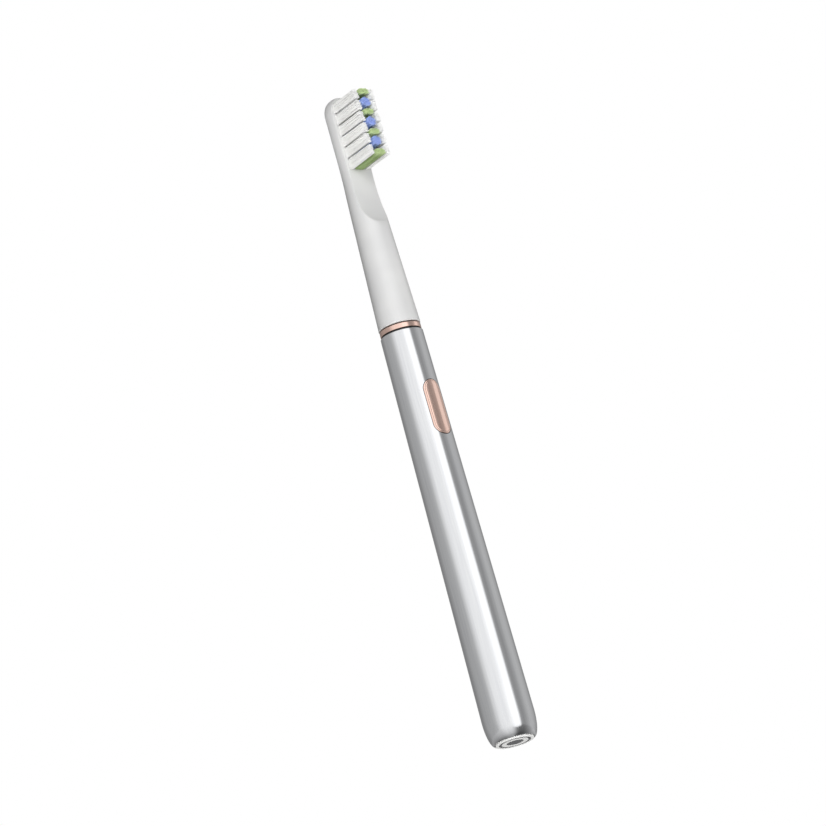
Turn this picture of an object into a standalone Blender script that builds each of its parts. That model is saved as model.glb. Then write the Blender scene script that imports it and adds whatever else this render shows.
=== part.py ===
"""Slim sonic toothbrush: tapered metal handle with its inner works, and a pull-off brush head.

The handle stands upright on its end cap, along +Z. The button and the bristles face -Y.
Sizes are in millimetres and are scaled to metres when a mesh is made.
"""
import math

import bmesh
import bpy
from mathutils import Matrix, Vector

MM = 0.001
GAP = 0.15               # clearance between neighbouring pieces that sit in each other

# Handle tube
TUBE_R_MAX = 8.0         # radius where the bottom rounding starts
TUBE_R_TOP = 6.52        # radius at the top edge
TUBE_Z_ROUND = 8.0       # height where the bottom rounding ends
TUBE_Z_TOP = 128.9
TUBE_ROUND_R = 2.0       # radial reach of the bottom rounding
TUBE_ROUND_H = 7.7       # height of the bottom rounding
TUBE_ROUND_END = math.radians(79.9)
TUBE_WALL = 0.8
CAP_BORE_R = 6.15
CAP_BORE_TOP = 5.5

# Button and its slot
BUTTON_Z = 103.5
BUTTON_HALF_L = 8.75
BUTTON_HALF_W = 3.25
BUTTON_PROUD = 0.15
BUTTON_BACK_Y = -5.2
SLOT_GAP = 0.25
SEAL_FRONT_Y = -4.85
SEAL_BACK_Y = -4.5

# End cap and charging contacts
CAP_R = 5.95
CAP_TOP = 5.0
RECESS = 0.75
RING_R = (4.25, 4.75)
CENTRE_R = 2.45
CONTACT_T = 0.6
PIN_R = 0.3
PIN_TOP = 5.2
RING_PIN_Y = -4.45

# Inner frame, battery and board
CHASSIS_Z = (11.0, 108.6)
BATTERY_R = 5.0
BATTERY_Z = (14.0, 58.0)
BAY_Z = (13.0, 60.5)
BOARD_Y = (-3.4, -2.6)
BOARD_HALF_W = 3.9
BOARD_Z = (61.0, 107.5)
WIRE_R = 0.35
WIRE_RUN_Y = -5.75       # the leads run up in front of the battery
WIRE_PAD_Y = -4.05

# Motor and drive shaft
MOTOR_R = 4.3
MOTOR_Z = (110.0, 127.1)
SHAFT_R = 1.5
SHAFT_Z = (111.2, 150.5)
FLAT_Y = 1.0             # the D flat on the shaft's upper end
FLAT_Z = 138.0
NOSE_TOP = 132.2

# Brush head
HEAD_Z = 131.4
HEAD_R = 6.46
NECK_SLOPE = 0.0323
NECK_TOP_Z = 176.0
PLATE_R = 5.35
PLATE_Z = 188.0
TIP_START_Z = 199.6
TIP_Z = 205.6
PLATE_FRONT_Y = -1.75
PLATE_BACK_Y = 1.9
SOCKET_R = 2.8
SOCKET_TOP = 152.4

# Bristle tufts
TUFT_LEAN = math.radians(4.2)
TUFT_ROOT = 2.0          # length held inside the plate
HOLE_GAP = 0.1
SIDE_COUNT = 6
SIDE_PITCH = 3.6
SIDE_Z = 183.45
SIDE_X = 3.2
SIDE_SIZE = (1.5, 10.4, 2.95)
GREEN_COUNT, GREEN_PITCH, GREEN_Z = 4, 6.55, 182.65
GREEN_SIZE = (3.6, 10.7, 1.6)
BLUE_COUNT, BLUE_PITCH, BLUE_Z = 3, 6.3, 186.3
BLUE_SIZE = (3.4, 10.5, 2.9)

FINE, COARSE = 48, 24    # steps round a turned piece

COLOURS = {
    "satin_aluminium": ((0.62, 0.62, 0.63), 0.3, 1.0),
    "rose_gold": ((0.66, 0.45, 0.37), 0.25, 1.0),
    "white_plastic": ((0.82, 0.82, 0.81), 0.25, 0.0),
    "head_plastic": ((0.72, 0.72, 0.72), 0.25, 0.0),
    "dark_rubber": ((0.03, 0.03, 0.03), 0.7, 0.0),
    "contact_metal": ((0.12, 0.12, 0.13), 0.35, 1.0),
    "frame_plastic": ((0.35, 0.36, 0.38), 0.5, 0.0),
    "steel": ((0.55, 0.55, 0.56), 0.3, 1.0),
    "copper": ((0.72, 0.32, 0.16), 0.35, 1.0),
    "magnet_nickel": ((0.5, 0.5, 0.5), 0.2, 1.0),
    "nickel_strip": ((0.6, 0.6, 0.58), 0.3, 1.0),
    "battery_wrap": ((0.05, 0.18, 0.32), 0.4, 0.0),
    "board_green": ((0.02, 0.18, 0.08), 0.4, 0.0),
    "chip_black": ((0.02, 0.02, 0.02), 0.5, 0.0),
    "wire_red": ((0.5, 0.02, 0.02), 0.45, 0.0),
    "wire_black": ((0.02, 0.02, 0.02), 0.45, 0.0),
    "bristle_white": ((0.86, 0.86, 0.84), 0.4, 0.0),
    "bristle_green": ((0.33, 0.5, 0.15), 0.4, 0.0),
    "bristle_blue": ((0.2, 0.34, 0.78), 0.4, 0.0),
}


def clear_scene():
    for obj in list(bpy.data.objects):
        bpy.data.objects.remove(obj)


def make_collection(name):
    collection = bpy.data.collections.new(name)
    bpy.context.scene.collection.children.link(collection)
    return collection


def make_material(name):
    colour, roughness, metallic = COLOURS[name]
    material = bpy.data.materials.new(name)
    material.use_nodes = True
    shader = material.node_tree.nodes["Principled BSDF"]
    shader.inputs["Base Color"].default_value = (*colour, 1.0)
    shader.inputs["Roughness"].default_value = roughness
    shader.inputs["Metallic"].default_value = metallic
    return material


clear_scene()
PARTS = make_collection("toothbrush")
CUTTERS = make_collection("toothbrush_cutters")
MATERIALS = {name: make_material(name) for name in COLOURS}


def add_object(name, data, slot, location=(0.0, 0.0, 0.0), rotation=(0.0, 0.0, 0.0)):
    """Puts mesh or curve data in the scene as a part, or as a cutter when it has no material slot."""
    obj = bpy.data.objects.new(name, data)
    obj.location = Vector(location) * MM
    obj.rotation_euler = rotation
    if slot is None:
        CUTTERS.objects.link(obj)
        obj.hide_render = True
        obj.display_type = "WIRE"
    else:
        PARTS.objects.link(obj)
        data.materials.append(MATERIALS[slot])
    return obj


def make_empty(name, location):
    """An empty on a joint's axis, which carries the pieces that move on that joint."""
    empty = bpy.data.objects.new(name, None)
    empty.location = Vector(location) * MM
    PARTS.objects.link(empty)
    return empty


def carry(empty, pieces):
    for piece in pieces:
        piece.parent = empty
        piece.matrix_parent_inverse = Matrix.Translation(-Vector(empty.location))


def round_shading(mesh):
    mesh.shade_smooth()
    mesh.set_sharp_from_angle(angle=math.radians(35))


def turned(name, slot, profile, steps=COARSE, closed=True):
    """A profile of (radius, height) points turned about Z. Its outer side runs from top to bottom."""
    base = min(z for _, z in profile)
    points = [(r * MM, 0.0, (z - base) * MM) for r, z in profile]
    edges = [(i, i + 1) for i in range(len(points) - 1)]
    if closed:
        edges.append((len(points) - 1, 0))
    mesh = bpy.data.meshes.new(name)
    mesh.from_pydata(points, edges, [])
    obj = add_object(name, mesh, slot, (0.0, 0.0, base))
    screw = obj.modifiers.new("turn", "SCREW")
    screw.axis = "Z"
    screw.steps = steps
    screw.render_steps = steps
    screw.use_merge_vertices = True
    screw.merge_threshold = 0.00001
    screw.use_smooth_shade = True
    return obj


def ring(name, slot, r_in, r_out, z_low, z_high, steps=COARSE):
    return turned(name, slot, [(r_out, z_high), (r_out, z_low), (r_in, z_low), (r_in, z_high)], steps)


def disc(name, slot, radius, z_low, z_high, steps=COARSE):
    profile = [(0.0, z_high), (radius, z_high), (radius, z_low), (0.0, z_low)]
    return turned(name, slot, profile, steps, closed=False)


def add_block(bm, size, centre, rotation=Matrix.Identity(4)):
    place = Matrix.Translation(Vector(centre) * MM) @ rotation
    bmesh.ops.create_cube(bm, size=1.0, matrix=place @ Matrix.Diagonal((*(Vector(size) * MM), 1.0)))


def block(name, slot, low, high, bevel=0.0):
    """A box between two corners, with its origin in its middle."""
    low, high = Vector(low), Vector(high)
    bm = bmesh.new()
    add_block(bm, high - low, (0.0, 0.0, 0.0))
    mesh = bpy.data.meshes.new(name)
    bm.to_mesh(mesh)
    bm.free()
    obj = add_object(name, mesh, slot, (low + high) / 2)
    if bevel:
        edge = obj.modifiers.new("edge", "BEVEL")
        edge.width = bevel * MM
        edge.segments = 2
    return obj


def rod(name, slot, radius, start, end, steps=24):
    """A round rod between two points."""
    start, end = Vector(start), Vector(end)
    turn = (end - start).to_track_quat("Z", "Y").to_euler()
    bm = bmesh.new()
    bmesh.ops.create_cone(bm, cap_ends=True, segments=steps, radius1=radius * MM, radius2=radius * MM,
                          depth=(end - start).length * MM)
    mesh = bpy.data.meshes.new(name)
    bm.to_mesh(mesh)
    bm.free()
    round_shading(mesh)
    return add_object(name, mesh, slot, (start + end) / 2, turn)


def extruded(name, slot, outline, low, high, across):
    """A flat outline given thickness from low to high along X or Y, as a mesh.

    Across "Y" reads the outline as (x, z), and across "X" reads it as (y, z).
    """
    curve = bpy.data.curves.new(name, "CURVE")
    curve.dimensions = "2D"
    curve.fill_mode = "BOTH"
    curve.extrude = (high - low) / 2 * MM
    spline = curve.splines.new("POLY")
    spline.points.add(len(outline) - 1)
    for point, (u, v) in zip(spline.points, outline):
        point.co = (u * MM, v * MM, 0.0, 1.0)
    spline.use_cyclic_u = True
    middle = (low + high) / 2
    if across == "Y":
        guide = add_object(name + "_outline", curve, None, (0.0, middle, 0.0), (math.pi / 2, 0.0, 0.0))
    else:
        turn = (math.pi / 2, 0.0, math.pi / 2)
        guide = add_object(name + "_outline", curve, None, (middle, 0.0, 0.0), turn)
    bpy.context.view_layer.update()
    mesh = bpy.data.meshes.new_from_object(guide.evaluated_get(bpy.context.evaluated_depsgraph_get()))
    mesh.name = name
    mesh.materials.clear()
    bm = bmesh.new()
    bm.from_mesh(mesh)
    bmesh.ops.remove_doubles(bm, verts=bm.verts, dist=0.000001)
    bmesh.ops.recalc_face_normals(bm, faces=bm.faces)
    bm.to_mesh(mesh)
    bm.free()
    solid = add_object(name, mesh, slot)
    solid.matrix_world = guide.matrix_world
    bpy.data.objects.remove(guide)
    return solid


def pill(half_w, half_l, z_centre, steps=11):
    """The outline of a slot with round ends, as (x, z) points."""
    points = []
    for end, start_angle in ((1, 0.0), (-1, math.pi)):
        for step in range(steps + 1):
            angle = start_angle + math.pi * step / steps
            points.append((half_w * math.cos(angle), z_centre + end * (half_l - half_w) + half_w * math.sin(angle)))
    return points


def combine(target, tools, operation="DIFFERENCE"):
    for tool in tools:
        step = target.modifiers.new(operation.lower(), "BOOLEAN")
        step.operation = operation
        step.solver = "EXACT"
        step.object = tool


def wire(name, slot, route):
    """An insulated lead along a smooth curve through the points of its route."""
    ends = [2 * Vector(route[0]) - Vector(route[1]), 2 * Vector(route[-1]) - Vector(route[-2])]
    knots = [ends[0], *map(Vector, route), ends[1]]
    points = []
    for a, b, c, d in zip(knots, knots[1:], knots[2:], knots[3:]):
        count = 2 if (c - b).length > 20 else 4
        for step in range(count):
            t = step / count
            points.append((2 * b + (c - a) * t + (2 * a - 5 * b + 4 * c - d) * t ** 2
                           + (3 * b - a - 3 * c + d) * t ** 3) / 2)
    points.append(Vector(route[-1]))
    start = points[0]
    curve = bpy.data.curves.new(name, "CURVE")
    curve.dimensions = "3D"
    curve.bevel_depth = WIRE_R * MM
    curve.bevel_resolution = 2
    curve.use_fill_caps = True
    spline = curve.splines.new("POLY")
    spline.points.add(len(points) - 1)
    for point, place in zip(spline.points, points):
        point.co = (*((place - start) * MM), 1.0)
    return add_object(name, curve, slot, start)


def tube_radius(z):
    """Outer radius of the handle above its bottom rounding."""
    slope = (TUBE_R_MAX - TUBE_R_TOP) / (TUBE_Z_TOP - TUBE_Z_ROUND)
    return TUBE_R_MAX - slope * (z - TUBE_Z_ROUND)


def make_handle_tube():
    profile = [(tube_radius(TUBE_Z_TOP) - 0.15, TUBE_Z_TOP), (tube_radius(TUBE_Z_TOP - 0.15), TUBE_Z_TOP - 0.15)]
    steps = 8
    for step in range(steps + 1):
        angle = TUBE_ROUND_END * step / steps
        profile.append((TUBE_R_MAX - TUBE_ROUND_R * (1 - math.cos(angle)),
                        TUBE_Z_ROUND - TUBE_ROUND_H * math.sin(angle)))
    profile += [(CAP_BORE_R, profile[-1][1]), (CAP_BORE_R, CAP_BORE_TOP),
                (TUBE_R_MAX - TUBE_WALL, CAP_BORE_TOP + 1.0), (TUBE_R_MAX - TUBE_WALL, TUBE_Z_ROUND),
                (TUBE_R_TOP - TUBE_WALL, TUBE_Z_TOP)]
    tube = turned("handle_tube", "satin_aluminium", profile, FINE)
    slot = extruded("button_slot", None, pill(BUTTON_HALF_W + SLOT_GAP, BUTTON_HALF_L + SLOT_GAP, BUTTON_Z),
                    -9.0, -3.0, "Y")
    combine(tube, [slot])


def make_neck_ring():
    profile = [(6.15, 131.0), (6.3, 130.85), (6.3, 129.65), (6.15, 129.5), (4.7, 129.5), (4.7, 131.0)]
    turned("neck_ring", "rose_gold", profile, FINE)
    ring("ring_gasket", "dark_rubber", 4.7, 6.15, 129.05, 129.35, FINE)


def make_end_cap():
    """White cap with recesses for both contacts, and the groove for its O-ring."""
    recess_out, recess_in = RING_R[1] + GAP, RING_R[0] - GAP
    centre_out = CENTRE_R + GAP
    groove = (2.6, 3.8)
    groove_r = 5.05
    profile = [(0.0, CAP_TOP), (CAP_R - 0.3, CAP_TOP), (CAP_R, CAP_TOP - 0.3), (CAP_R, groove[1]),
               (groove_r, groove[1]), (groove_r, groove[0]), (CAP_R, groove[0]), (CAP_R, 0.3),
               (CAP_R - 0.3, 0.0), (recess_out, 0.0), (recess_out, RECESS), (recess_in, RECESS),
               (recess_in, 0.0), (centre_out, 0.0), (centre_out, RECESS), (0.0, RECESS)]
    cap = turned("end_cap", "white_plastic", profile, FINE, closed=False)
    drills = [rod("pin_hole_" + name, None, PIN_R + GAP, (0.0, y, 0.3), (0.0, y, CAP_TOP + 1.0))
              for name, y in (("centre", 0.0), ("ring", RING_PIN_Y))]
    combine(cap, drills)
    o_ring_r = 0.5
    o_ring_mid = (groove_r + CAP_BORE_R) / 2
    loop = [(o_ring_mid + o_ring_r * math.cos(a), 3.2 - o_ring_r * math.sin(a))
            for a in (2 * math.pi * i / 10 for i in range(10))]
    turned("cap_o_ring", "dark_rubber", loop)


def make_contacts():
    contact = ring("ring_contact", "contact_metal", RING_R[0], RING_R[1], 0.0, CONTACT_T, FINE)
    pin = rod("ring_contact_pin", None, PIN_R, (0.0, RING_PIN_Y, CONTACT_T / 2), (0.0, RING_PIN_Y, PIN_TOP))
    combine(contact, [pin], "UNION")
    profile = [(0.0, PIN_TOP), (PIN_R, PIN_TOP), (PIN_R, CONTACT_T), (CENTRE_R, CONTACT_T),
               (CENTRE_R, 0.0), (0.0, 0.0)]
    turned("centre_contact", "contact_metal", profile, COARSE, closed=False)
    ring("alignment_magnet", "magnet_nickel", 0.9, 3.6, 5.4, 7.2)


def make_chassis():
    """Moulded frame that fills the tube, with a bay for the cell and a flat seat for the board."""
    low, high = CHASSIS_Z
    play = TUBE_WALL + 0.2
    profile = [(0.0, high), (tube_radius(high) - play, high), (tube_radius(low) - play, low), (0.0, low)]
    frame = turned("chassis", "frame_plastic", profile, COARSE, closed=False)
    bay = disc("cell_bay", None, BATTERY_R + GAP, BAY_Z[0], BAY_Z[1])
    tools = [bay,
             block("cell_bay_front", None, (-4.6, -9.0, BAY_Z[0]), (4.6, 0.0, BAY_Z[1])),
             block("board_seat", None, (-9.0, -9.0, BAY_Z[1] - 0.5), (9.0, BOARD_Y[1] + 0.1, high + 1.0)),
             block("lead_passage", None, (-2.6, -9.0, low - 1.0), (2.6, -4.7, BAY_Z[0] + 1.0)),
             block("rear_pocket", None, (-3.0, 0.0, 64.0), (3.0, 9.0, 105.0))]
    combine(frame, tools)


def make_battery():
    low, high = BATTERY_Z
    profile = [(0.0, high), (1.8, high), (1.8, high - 0.8), (BATTERY_R - 0.4, high - 0.8),
               (BATTERY_R, high - 1.2), (BATTERY_R, low + 0.3), (BATTERY_R - 0.3, low), (0.0, low)]
    turned("battery_cell", "battery_wrap", profile, COARSE, closed=False)
    block("battery_tab_positive", "nickel_strip", (-2.0, -3.0, high + 0.3), (3.4, 1.5, high + 0.6))
    block("battery_tab_negative", "nickel_strip", (-2.4, -4.8, low - 0.6), (2.0, 1.5, low - 0.3))


def make_board():
    face = BOARD_Y[0]
    block("circuit_board", "board_green", (-BOARD_HALF_W, face, BOARD_Z[0]), (BOARD_HALF_W, BOARD_Y[1], BOARD_Z[1]))
    chips = {"charge_chip": ((-1.5, 68.0), (1.5, 71.0), 0.8), "power_inductor": ((-2.0, 75.0), (2.0, 79.0), 1.2),
             "controller_chip": ((-2.0, 84.0), (2.0, 88.0), 0.8)}
    for name, ((x_low, z_low), (x_high, z_high), height) in chips.items():
        slot = "copper" if name == "power_inductor" else "chip_black"
        block(name, slot, (x_low, face - 0.1 - height, z_low), (x_high, face - 0.1, z_high), bevel=0.15)
    switch = block("switch_body", "chip_black", (-2.2, -4.4, BUTTON_Z - 2.2), (2.2, face - 0.1, BUTTON_Z + 2.2))
    well = rod("plunger_well", None, 1.0, (0.0, -3.7, BUTTON_Z), (0.0, -5.0, BUTTON_Z))
    combine(switch, [well])


def make_button():
    """Pill cap flush with the tube, with a lug behind the tube's wall at each end."""
    outline = pill(BUTTON_HALF_W, BUTTON_HALF_L, BUTTON_Z)
    cap = extruded("button_cap", "rose_gold", outline, -8.0, BUTTON_BACK_Y, "Y")
    low, high = BUTTON_Z - 15.0, BUTTON_Z + 15.0
    skin = turned("button_skin", None, [(0.0, high), (tube_radius(high) + BUTTON_PROUD, high),
                                        (tube_radius(low) + BUTTON_PROUD, low), (0.0, low)], FINE, closed=False)
    combine(cap, [skin], "INTERSECT")
    lugs = []
    for name, side in (("upper", 1), ("lower", -1)):
        ends = sorted((BUTTON_Z + side * (BUTTON_HALF_L - 1.0), BUTTON_Z + side * (BUTTON_HALF_L + 1.1)))
        lugs.append(block("button_lug_" + name, None, (-1.2, -5.5, ends[0]), (1.2, BUTTON_BACK_Y - 0.02, ends[1])))
    combine(cap, lugs, "UNION")
    seal = extruded("button_seal", "dark_rubber", pill(3.2, 8.7, BUTTON_Z), SEAL_FRONT_Y, SEAL_BACK_Y, "Y")
    window = extruded("seal_window", None, pill(2.35, 7.85, BUTTON_Z), SEAL_FRONT_Y - 1, SEAL_BACK_Y + 1, "Y")
    combine(seal, [window])
    plunger = rod("switch_plunger", "white_plastic", 0.8, (0.0, -5.1, BUTTON_Z), (0.0, -4.15, BUTTON_Z))
    carry(make_empty("button_slide", (0.0, BUTTON_BACK_Y, BUTTON_Z)), [cap])
    carry(make_empty("plunger_slide", (0.0, SEAL_BACK_Y, BUTTON_Z)), [plunger])


def make_motor():
    low, high = MOTOR_Z
    inner = MOTOR_R - 0.4
    floor = low + 0.7
    can = [(0.0, floor), (inner, floor), (inner, high), (MOTOR_R, high), (MOTOR_R, low), (0.0, low)]
    turned("motor_can", "steel", can, COARSE, closed=False)
    ring("motor_end_plate", "white_plastic", 1.8, 3.75, high - 1.0, high - 0.3)
    ring("motor_upper_bearing", "steel", SHAFT_R + 0.1, 2.6, high - 2.7, high - 1.2, 24)
    ring("motor_lower_bearing", "steel", SHAFT_R + 0.1, 2.6, low + 1.4, low + 2.8, 24)
    ring("motor_coil", "copper", 3.0, 3.75, low + 3.8, high - 3.9)
    damper = ring("motor_damper", "dark_rubber", 2.4, MOTOR_R, CHASSIS_Z[1] + 0.3, low - 0.3)
    combine(damper, [block("damper_notch", None, (-3.5, -6.0, low - 2.0), (3.5, -1.2, low))])


def make_motor_holder():
    """Sleeve that holds the motor in the tube, with the nose that the brush head turns round."""
    sleeve_r, bore_r, nose_r, seal_r = 5.4, MOTOR_R + 0.25, 4.4, 2.6
    profile = [(seal_r, NOSE_TOP), (3.6, NOSE_TOP), (nose_r, NOSE_TOP - 1.0), (nose_r, 128.7),
               (sleeve_r, 128.7), (sleeve_r, 115.0), (bore_r, 115.0), (bore_r, MOTOR_Z[1] + 0.3),
               (seal_r, MOTOR_Z[1] + 0.3)]
    turned("motor_holder", "frame_plastic", profile)
    ring("shaft_seal", "dark_rubber", SHAFT_R + 0.1, seal_r - GAP, MOTOR_Z[1] + 0.7, NOSE_TOP - 0.4, 24)


def make_drive():
    """Shaft with a D flat at its upper end, and the magnet that the coil swings."""
    low, high = SHAFT_Z
    profile = [(0.0, high), (SHAFT_R - 0.3, high), (SHAFT_R, high - 0.3), (SHAFT_R, low), (0.0, low)]
    shaft = turned("drive_shaft", "steel", profile, 24, closed=False)
    combine(shaft, [block("shaft_flat", None, (-3.0, FLAT_Y, FLAT_Z), (3.0, 4.0, high + 2.0))])
    magnet = ring("rotor_magnet", "magnet_nickel", SHAFT_R + 0.1, 2.75, MOTOR_Z[0] + 4.2, MOTOR_Z[1] - 4.3, 24)
    return [shaft, magnet]


def head_profile():
    """Outer side of the head's turned body, from the tip down to the open end."""
    points = []
    tip_steps = 8
    for step in range(tip_steps + 1):
        angle = math.pi / 2 * step / tip_steps
        points.append((PLATE_R * math.sin(angle), TIP_START_Z + (TIP_Z - TIP_START_Z) * math.cos(angle)))
    neck_top_r = HEAD_R - NECK_SLOPE * (NECK_TOP_Z - HEAD_Z)
    for step in range(5):
        ease = (1 + math.cos(math.pi * step / 4)) / 2
        height = PLATE_Z + (NECK_TOP_Z - PLATE_Z) * step / 4
        points.append((neck_top_r + (PLATE_R - neck_top_r) * ease, height))
    points += [(HEAD_R - NECK_SLOPE * 0.2, HEAD_Z + 0.2), (HEAD_R - 0.2, HEAD_Z)]
    return points


def front_cut_outline():
    """Side view (y, z) of what the scoop and the flat plate face take off the front."""
    start, pull, end = Vector((-5.45, 163.5)), Vector((PLATE_FRONT_Y, 167.1)), Vector((PLATE_FRONT_Y, 175.0))
    curve = [start * (1 - t) ** 2 + pull * 2 * t * (1 - t) + end * t ** 2 for t in (i / 8 for i in range(9))]
    return [tuple(p) for p in curve] + [(PLATE_FRONT_Y, 210.0), (-9.0, 210.0), (-9.0, 163.5)]


def back_cut_outline():
    """Side view (y, z) of what thins the neck into the plate at the back."""
    y_start, z_start, z_end = 5.42, 166.0, 188.0
    curve = []
    for step in range(9):
        ease = (1 - math.cos(math.pi * step / 8)) / 2
        curve.append((y_start + (PLATE_BACK_Y - y_start) * ease, z_start + (z_end - z_start) * step / 8))
    return curve + [(PLATE_BACK_Y, 210.0), (9.0, 210.0), (9.0, z_start)]


def tuft_rows():
    """Name, slot, size and place of every tuft. The place is where its axis leaves the plate."""
    rows = []
    for side, sign in (("left", -1), ("right", 1)):
        for i in range(SIDE_COUNT):
            rows.append((f"tuft_white_{side}_{i + 1}", "bristle_white", SIDE_SIZE,
                         (sign * SIDE_X, PLATE_FRONT_Y, SIDE_Z + i * SIDE_PITCH)))
    for colour, size, count, pitch, first in (("green", GREEN_SIZE, GREEN_COUNT, GREEN_PITCH, GREEN_Z),
                                              ("blue", BLUE_SIZE, BLUE_COUNT, BLUE_PITCH, BLUE_Z)):
        for i in range(count):
            rows.append((f"tuft_{colour}_{i + 1}", "bristle_" + colour, size,
                         (0.0, PLATE_FRONT_Y, first + i * pitch)))
    return rows


def make_tufts():
    """Each tuft is a block that leans towards the tip, with its root inside the plate."""
    tufts = []
    meshes = {}
    for name, slot, size, place in tuft_rows():
        if slot not in meshes:
            width, free, depth = size
            bm = bmesh.new()
            add_block(bm, (width, free + TUFT_ROOT, depth), (0.0, (TUFT_ROOT - free) / 2, 0.0))
            meshes[slot] = bpy.data.meshes.new(slot)
            bm.to_mesh(meshes[slot])
            bm.free()
            meshes[slot].materials.append(MATERIALS[slot])
        tuft = bpy.data.objects.new(name, meshes[slot])
        tuft.location = Vector(place) * MM
        tuft.rotation_euler = (-TUFT_LEAN, 0.0, 0.0)
        PARTS.objects.link(tuft)
        tufts.append(tuft)
    return tufts


def make_tuft_holes():
    bm = bmesh.new()
    front = 2.5
    turn = Matrix.Rotation(-TUFT_LEAN, 4, "X")
    for _, _, (width, _, depth), place in tuft_rows():
        root = TUFT_ROOT + 2 * HOLE_GAP
        centre = Vector(place) + turn @ Vector((0.0, (root - front) / 2, 0.0))
        add_block(bm, (width + 2 * HOLE_GAP, root + front, depth + 2 * HOLE_GAP), centre, turn)
    mesh = bpy.data.meshes.new("tuft_holes")
    bm.to_mesh(mesh)
    bm.free()
    return add_object("tuft_holes", mesh, None)


def make_brush_head():
    profile = head_profile()
    profile += [(4.9, HEAD_Z), (4.9, HEAD_Z + 1.5), (SOCKET_R, HEAD_Z + 3.2), (SOCKET_R, SOCKET_TOP),
                (0.0, SOCKET_TOP)]
    shell = turned("head_shell", "head_plastic", profile, FINE, closed=False)
    front = extruded("front_cut", None, front_cut_outline(), -9.0, 9.0, "X")
    back = extruded("back_cut", None, back_cut_outline(), -9.0, 9.0, "X")
    combine(shell, [front, back, make_tuft_holes()])
    insert = disc("shaft_insert", "white_plastic", SOCKET_R - GAP, 137.0, SOCKET_TOP - 0.3)
    bore = disc("insert_bore", None, SHAFT_R + 0.1, 136.0, SOCKET_TOP + 1.0, 24)
    flat = block("insert_flat", None, (-3.0, FLAT_Y + 0.1, FLAT_Z + 0.2), (3.0, 4.0, SOCKET_TOP + 2.0))
    combine(bore, [flat])
    combine(insert, [bore])
    return [shell, insert] + make_tufts()


def make_leads():
    """Leads from the contacts and the cell run up the front of the battery to the board."""
    low = BATTERY_Z[0]
    for name, slot, x, start in (
            ("charge_lead_ring", "wire_black", 0.0, [(0.0, RING_PIN_Y, 5.6), (0.0, -4.8, 7.5), (0.0, -5.5, 10.5)]),
            ("charge_lead_centre", "wire_red", 1.6, [(0.0, 0.0, 5.6), (0.0, -0.1, 7.0), (0.4, -1.5, 8.5),
                                                     (1.1, -3.7, 9.2), (1.55, -5.3, 10.3)]),
            ("battery_lead_negative", "wire_black", -1.6, [(-1.6, -5.6, low - 0.45)])):
        run = [(x, WIRE_RUN_Y, low), (x, WIRE_RUN_Y, 54.0), (x, -5.2, 58.6), (x, -4.3, 61.4),
               (x, WIRE_PAD_Y, 64.0)]
        wire(name, slot, start + run)
    wire("battery_lead_positive", "wire_red", [(2.9, -2.2, 59.3), (2.9, -3.3, 59.6), (2.9, WIRE_PAD_Y, 61.0),
                                               (2.9, WIRE_PAD_Y, 64.0)])
    for name, slot, side in (("motor_lead_a", "wire_red", 1), ("motor_lead_b", "wire_black", -1)):
        wire(name, slot, [(side * 3.0, WIRE_PAD_Y, 104.5), (side * 3.0, WIRE_PAD_Y, 107.0),
                          (side * 2.8, -3.6, 108.6), (side * 2.4, -2.6, 109.5)])


make_handle_tube()
make_neck_ring()
make_end_cap()
make_contacts()
make_chassis()
make_battery()
make_board()
make_button()
make_motor()
make_motor_holder()
make_leads()
drive_axis = make_empty("drive_axis", (0.0, 0.0, SHAFT_Z[0]))
carry(drive_axis, make_drive())
head_axis = make_empty("brush_head_axis", (0.0, 0.0, HEAD_Z))
carry(head_axis, make_brush_head())
carry(drive_axis, [head_axis])
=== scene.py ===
import math

import bmesh
import bpy
from mathutils import Matrix, Quaternion, Vector


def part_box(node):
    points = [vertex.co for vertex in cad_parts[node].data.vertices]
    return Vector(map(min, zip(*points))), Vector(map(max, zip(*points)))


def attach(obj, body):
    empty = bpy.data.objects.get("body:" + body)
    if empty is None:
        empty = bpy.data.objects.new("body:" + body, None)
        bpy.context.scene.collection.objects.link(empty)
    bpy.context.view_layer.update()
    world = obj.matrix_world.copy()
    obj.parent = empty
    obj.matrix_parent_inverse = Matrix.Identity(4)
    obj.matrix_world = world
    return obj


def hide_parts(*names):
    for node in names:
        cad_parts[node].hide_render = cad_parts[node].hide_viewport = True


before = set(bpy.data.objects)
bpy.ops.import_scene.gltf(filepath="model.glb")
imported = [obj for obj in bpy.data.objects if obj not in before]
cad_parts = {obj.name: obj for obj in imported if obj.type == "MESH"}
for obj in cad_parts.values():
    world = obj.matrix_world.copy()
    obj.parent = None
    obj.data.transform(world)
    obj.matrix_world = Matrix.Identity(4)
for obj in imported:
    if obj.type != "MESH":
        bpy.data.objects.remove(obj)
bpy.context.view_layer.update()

MM = 0.001


# ---- Camera ----
# A long lens from below and to the left of the brush's front, rolled so that the upright brush leans to the
# left.
camera_azimuth = math.radians(-45)
camera_elevation = math.radians(-15.5)
camera_roll = math.radians(15.54)
camera_distance = 2.18
camera_aim = Vector((-0.0021, 0.0021, 0.10487))

camera_back = Vector((math.sin(camera_azimuth) * math.cos(camera_elevation),
                      -math.cos(camera_azimuth) * math.cos(camera_elevation), math.sin(camera_elevation)))
camera = bpy.data.objects.new("camera", bpy.data.cameras.new("camera"))
camera.data.lens = 320
camera.data.sensor_width = 36
camera.data.clip_start, camera.data.clip_end = 0.1, 100
camera.location = camera_aim + camera_back * camera_distance
camera.rotation_mode = "QUATERNION"
camera.rotation_quaternion = (-camera_back).to_track_quat("-Z", "Y") @ Quaternion((0, 0, 1), -camera_roll)
bpy.context.scene.collection.objects.link(camera)
bpy.context.scene.camera = camera
bpy.context.scene.view_settings.view_transform = "Standard"


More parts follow.
